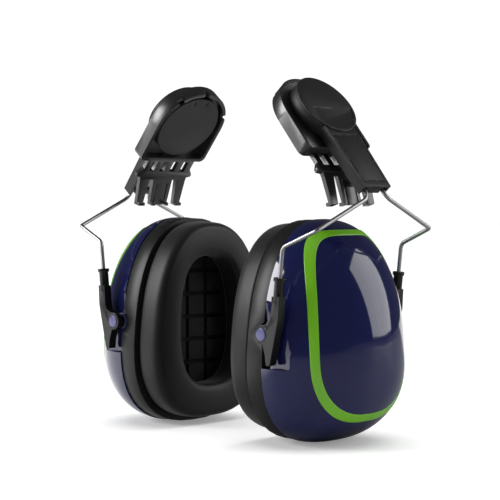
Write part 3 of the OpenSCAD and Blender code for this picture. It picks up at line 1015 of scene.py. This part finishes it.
@dataclass
class Cushion:
    """The soft ring that seals round the ear: a puffed vinyl skin over foam."""

    form: CupForm
    back: float = -14.6 * MM
    thick: float = 14.6 * MM
    inset: float = 2.2 * MM
    ear_w: float = 20.5 * MM
    ear_h: float = 33 * MM
    columns: int = 144
    frames: int = 20
    cap: float = 0.9 * MM

    def section(self) -> list[tuple[float, float, bool]]:
        """The ring's section, from its clamped rim round to its clamped inner edge.

        Returns:
            Share of the way from the rim to the opening, share of the thickness, and whether
            the vinyl is held there.
        """
        return [
            (0.06, 0.01, True),
            (0.025, 0.02, True),
            (0.01, 0.07, False),
            (0.006, 0.2, False),
            (0.006, 0.34, False),
            (0.01, 0.48, False),
            (0.016, 0.6, False),
            (0.028, 0.7, False),
            (0.05, 0.79, False),
            (0.085, 0.865, False),
            (0.13, 0.92, False),
            (0.185, 0.95, True),
            (0.25, 0.955, False),
            (0.34, 0.965, False),
            (0.46, 0.972, False),
            (0.58, 0.972, False),
            (0.7, 0.965, False),
            (0.79, 0.955, False),
            (0.86, 0.935, False),
            (0.915, 0.895, False),
            (0.955, 0.83, False),
            (0.977, 0.74, False),
            (0.985, 0.6, False),
            (0.985, 0.44, False),
            (0.985, 0.28, False),
            (0.98, 0.12, False),
            (0.965, 0.03, True),
            (0.93, 0.01, True),
        ]

    def point(self, i: int, across: float, deep: float) -> Vector:
        """A point of the skin: column i, share of the way across and share of the thickness."""
        form, angle = self.form, math.tau * i / self.columns
        rim = form.egg(
            angle, form.half_w - self.inset, form.half_h - self.inset - 0.4 * MM, 0, form.power, form.taper
        )
        ear = form.egg(angle, self.ear_w, self.ear_h, 0, 2.7, 0.04)
        p = rim.lerp(ear, across)
        return form.place(self.back - self.thick * deep, p[0], p[1])

    def simulate(self) -> bpy.types.Mesh:
        """Puff the skin with a short cloth run.

        Returns:
            The puffed mesh, drawn for the left cup.
        """
        rows = self.section()
        loft = Loft(self.columns, lambda i: self.point(i, rows[0][0], rows[0][1]))
        order = list(loft.ring)
        for across, deep, _ in rows[1:]:
            loft.extrude(lambda i, a=across, d=deep: self.point(i, a, d))
            order += loft.ring
        loft.join_ends()
        bm = loft.done()
        bm.verts.index_update()
        held = [v.index for n, v in enumerate(order) if rows[n // self.columns][2]]
        mesh = to_mesh(bm, "cushion_raw")
        return self.puff(mesh, held)

    def puff(self, mesh: bpy.types.Mesh, held: Sequence[int]) -> bpy.types.Mesh:
        """Run the cloth and keep what it gives, with no point moved further than the cap.

        Args:
            mesh: the skin before it is filled.
            held: vertices that are clamped or drawn in by the seam.

        Returns:
            The puffed mesh.
        """
        skin = add_object("cushion_run", mesh)
        group = skin.vertex_groups.new(name="held")
        group.add(list(held), 1.0, "REPLACE")
        cloth = skin.modifiers.new("cloth", "CLOTH")
        settings = cloth.settings
        settings.quality = 6
        settings.mass = 0.15
        settings.use_pressure = True
        settings.uniform_pressure_force = 4.0
        settings.tension_stiffness = 25
        settings.compression_stiffness = 25
        settings.shear_stiffness = 10
        settings.bending_stiffness = 0.8
        settings.effector_weights.gravity = 0
        settings.vertex_group_mass = "held"
        cloth.point_cache.frame_start = 1
        cloth.point_cache.frame_end = self.frames
        for step in range(1, self.frames + 1):
            bpy.context.scene.frame_set(step)
        result = evaluated_mesh(skin)
        for vert, start in zip(result.vertices, mesh.vertices):
            move = vert.co - start.co
            if move.length > self.cap:
                vert.co = start.co + move.normalized() * self.cap
        bpy.data.objects.remove(skin)
        bpy.context.scene.frame_set(1)
        return result

    def build(self, sides: Iterable[Side]) -> None:
        """Make the cushion of each cup from one run.

        Args:
            sides: the cups that get one.
        """
        puffed = self.simulate()
        for side in sides:
            bm = bmesh.new()
            bm.from_mesh(puffed)
            piece = make_piece("cushion", bm, side, "cup", VINYL, ["cushion_skin", "cushion_foam"], math.pi)
            smooth = piece.modifiers.new("smooth", "SUBSURF")
            smooth.levels = smooth.render_levels = 1


# ---- Wire, yokes, arm and adapter -----------------------------------------------------------


@dataclass
class WireBow:
    """Spring wire from the rear yoke over its knees and the cross bar to the front yoke."""

    side: Side
    form: CupForm
    radius: float = 1.0 * MM
    columns: int = 20
    corner_steps: int = 8

    def route(self) -> list[tuple[Vector, float]]:
        """The wire's corners on the rear half, each with the radius of its bend."""
        corners = [
            ((8.1, 42.1, 7.0), 0.0),
            ((11.93, 42.1, 40.6), 4.0),
            ((31.5, 40.1, 48.6), 1.6),
            ((32.857, 6.4, 63.577), 5.0),
            ((28.872, 6.4, 68.326), 1.6),
        ]
        return [(self.form.place(*[v * MM for v in at]), bend * MM) for at, bend in corners]

    def line(self) -> list[Vector]:
        """The wire's centreline from end to end, with every corner bent to its radius.

        Returns:
            Points in order, close together round the bends.
        """
        rear = self.route()
        front = [(Vector((p.x, -p.y, p.z)), bend) for p, bend in reversed(rear)]
        corners = rear + front
        points = [corners[0][0]]
        for (before, _), (at, bend), (after, _) in zip(corners, corners[1:], corners[2:]):
            back, on = (before - at).normalized(), (after - at).normalized()
            half = back.angle(on) / 2
            middle = at + (back + on).normalized() * bend / math.sin(half)
            start, end = at + back * bend / math.tan(half), at + on * bend / math.tan(half)
            for step in range(self.corner_steps + 1):
                share = step / self.corner_steps
                spoke = (start - middle).normalized().slerp((end - middle).normalized(), share)
                points.append(middle + spoke * bend)
        return points + [corners[-1][0]]

    def build(self) -> bpy.types.Object:
        """Sweep the wire's round section along its line.

        Returns:
            The piece.
        """
        points = self.line()
        ways = [(b - a).normalized() for a, b in zip(points, points[1:])]
        tangents = [ways[0]] + [(a + b).normalized() for a, b in zip(ways, ways[1:])] + [ways[-1]]
        normal = tangents[0].orthogonal().normalized()
        loft: Optional[Loft] = None
        for point, tangent in zip(points, tangents):
            normal = (normal - tangent * normal.dot(tangent)).normalized()
            across = tangent.cross(normal)

            def spot(i: int, p: Vector = point, n: Vector = normal, c: Vector = across) -> Vector:
                turn = math.tau * i / self.columns
                return p + (n * math.cos(turn) + c * math.sin(turn)) * self.radius

            if loft is None:
                loft = Loft(self.columns, spot)
            else:
                loft.extrude(spot)
        loft.pinch(loft.ring, points[-1] + tangents[-1] * 0.3 * MM)
        loft.pinch(loft.first, points[0] - tangents[0] * 0.3 * MM)
        return make_piece("wire_bow", loft.done(), self.side, "bow", WIRE, ["wire_bow"], math.radians(50))


@dataclass
class HardParts:
    """Moulded and steel pieces whose CAD shape is kept and whose corners are softened."""

    side: Side

    def build(self) -> None:
        """Make a softened piece for each node."""
        plan = [
            ("adapter_frame", "adapters", NYLON, 0.35),
            ("click_spring", "adapters", STRIP, 0.08),
            ("hub_disc", "arm", DISC_NYLON, 0.25),
            ("hub_screw", "arm", SCREW, 0.15),
            ("arm_housing", "arm", GLOSS, 0.5),
            ("arm_back_cover", "arm", NYLON, 0.2),
            ("head_cap", "arm", GLOSS, 0.3),
            ("slider", "carriage", GLOSS, 0.2),
            ("slider_spring", "carriage", STRIP, 0.05),
            ("front_yoke", "bow", YOKE_GLOSS, 0.5),
            ("rear_yoke", "bow", YOKE_GLOSS, 0.5),
        ]
        for node, body, finish, width in plan:
            soften_node(node, self.side, body, finish, width * MM)


# ---- Studio -------------------------------------------------------------------------------


@dataclass
class Studio:
    """Floor, lights, world and camera.

    Attributes:
        floor_z: height of the floor.
        floor_size: half the floor's width.
        camera_at: place of the camera.
        pitch: the camera's tilt, in degrees from straight down.
        heading: the camera's turn, in degrees.
        lens: focal length in millimetres.
        sensor: width of the camera's sensor in millimetres.
        floor_glow: the floor's own light as the camera sees it.
        floor_tone: the floor's colour as the camera sees it.
        mirror_tone: the floor's colour in reflections, darker as painted shade.
        room: strength of the world's light on the object.
        backdrop: strength of the world behind the object.
        pool_span: X from which, and to which, the floor's painted reflection glow brightens.
        pool_glow: strength of that painted glow, which only reflections see.
        sky_power: strength of the light from above.
        sky_spread: its angle, in degrees.
        sky_tilt: its tilt about X and Y, in degrees.
    """

    floor_z: float = -129.4 * MM
    floor_size: float = 6
    camera_at: Triple = (0.5459, -0.5321, -0.0123)
    pitch: float = 90 - 1.938
    heading: float = 45.65
    lens: float = 108.0
    sensor: float = 36
    floor_glow: float = 0.25
    floor_tone: tuple[float, float, float, float] = (0.92, 0.92, 0.92, 1)
    mirror_tone: tuple[float, float, float, float] = (0.26, 0.26, 0.26, 1)
    room: float = 0.06
    backdrop: float = 1.05
    pool_span: tuple[float, float] = (-0.03, -0.11)
    pool_glow: float = 1.1
    sky_power: float = 2.9
    sky_spread: float = 75
    sky_tilt: tuple[float, float] = (-12, -8)

    def build(self) -> None:
        """Set up everything round the object."""
        bpy.context.scene.view_settings.view_transform = "Standard"
        self.floor()
        self.lights()
        self.camera()

    def floor(self) -> None:
        """Wide pale floor that reaches out of sight."""
        bm = bmesh.new()
        bmesh.ops.create_grid(bm, x_segments=1, y_segments=1, size=self.floor_size)
        bmesh.ops.translate(bm, vec=(0, 0, self.floor_z), verts=bm.verts)
        mesh = to_mesh(bm, "floor")
        floor = add_object("floor", mesh)
        mesh.materials.append(self.floor_paint())

    def floor_paint(self) -> bpy.types.Material:
        """Matt white paint painted darker in reflections, as painted shade of a floor lit only near the
        object.

        Returns:
            The floor's material.
        """
        material = bpy.data.materials.new("floor_paint")
        material.use_nodes = True
        tree = material.node_tree
        shader = tree.nodes["Principled BSDF"]
        fill(shader, Roughness=0.6, Emission_Color=WHITE)
        put, link = tree.nodes.new, linker(tree)
        rays, tone, glow = put("ShaderNodeLightPath"), put("ShaderNodeMix"), put("ShaderNodeMath")
        coords, split = put("ShaderNodeTexCoord"), put("ShaderNodeSeparateXYZ")
        pool, sheen, total = put("ShaderNodeMapRange"), put("ShaderNodeMath"), put("ShaderNodeMath")
        # Towards -X the floor glows for reflection rays only: a painted reflection, not a lamp.
        pool.inputs["From Min"].default_value, pool.inputs["From Max"].default_value = self.pool_span
        fill(pool, To_Max=self.pool_glow)
        sheen.operation, total.operation = "MULTIPLY", "ADD"
        # Reflections see a darker floor colour: painted shade.
        tone.data_type = "RGBA"
        tone.inputs[MIX_A].default_value = self.floor_tone
        tone.inputs[MIX_B].default_value = self.mirror_tone
        glow.operation = "MULTIPLY"
        glow.inputs[1].default_value = self.floor_glow
        link(rays, "Is Glossy Ray", tone, 0)
        link(tone, MIX_OUT, shader, "Base Color")
        link(rays, "Is Camera Ray", glow, 0)
        link(coords, "Object", split, "Vector")
        link(split, "X", pool, "Value")
        link(pool, "Result", sheen, 0)
        link(rays, "Is Glossy Ray", sheen, 1)
        link(glow, "Value", total, 0)
        link(sheen, "Value", total, 1)
        link(total, "Value", shader, "Emission Strength")
        return material

    def lights(self) -> None:
        """Soft boxes and a bright world."""
        world = bpy.data.worlds.new("studio")
        bpy.context.scene.world = world
        world.use_nodes = True
        tree = world.node_tree
        put, link = tree.nodes.new, linker(tree)
        backdrop = tree.nodes["Background"]
        rays, tone = put("ShaderNodeLightPath"), put("ShaderNodeMapRange")
        fill(backdrop, Color=WHITE)
        fill(tone, To_Min=self.room, To_Max=self.backdrop)
        link(rays, "Is Camera Ray", tone, "Value")
        link(tone, "Result", backdrop, "Strength")
        self.box("key_box", (0.83, 0.85, 0.42), (0.08, 0.0, -0.06), 0.85, 1.0, 7.6)
        sky = bpy.data.lights.new("sky_panel", "SUN")
        sky.energy, sky.angle = self.sky_power, math.radians(self.sky_spread)
        panel = add_object("sky_panel", sky)
        panel.rotation_euler = (*[math.radians(turn) for turn in self.sky_tilt], 0)
        panel.visible_glossy = False
        self.box("left_box", (-0.72, -0.85, 0.42), (0.0, 0.0, -0.05), 0.55, 0.6, 11)

    @staticmethod
    def box(name: str, at: Triple, aim: Triple, width: float, height: float, watts: float) -> None:
        """Place a rectangular soft box.

        Args:
            name: the light's name.
            at: its place.
            aim: the point it faces.
            width: its width.
            height: its height.
            watts: its power.
        """
        data = bpy.data.lights.new(name, "AREA")
        data.shape = "RECTANGLE"
        data.size, data.size_y, data.energy = width, height, watts
        light = add_object(name, data)
        light.location = at
        light.rotation_euler = (Vector(aim) - Vector(at)).to_track_quat("-Z", "Y").to_euler()

    def camera(self) -> None:
        """Long-lens camera at a three-quarter view, a little above the cups' middle."""
        data = bpy.data.cameras.new("camera")
        data.lens, data.sensor_width = self.lens, self.sensor
        camera = add_object("camera", data)
        camera.location = self.camera_at
        camera.rotation_euler = (math.radians(self.pitch), 0, math.radians(self.heading))
        bpy.context.scene.camera = camera


def main() -> None:
    """Build the scene in order."""
    logging.basicConfig(level=logging.INFO, format="%(message)s")
    form = CupForm()
    for side in Side:
        Cup(side, form).build()
        HardParts(side).build()
        WireBow(side, form).build()
    Cushion(form).build(Side)
    Studio().build()


if __name__ == "__main__":
    main()
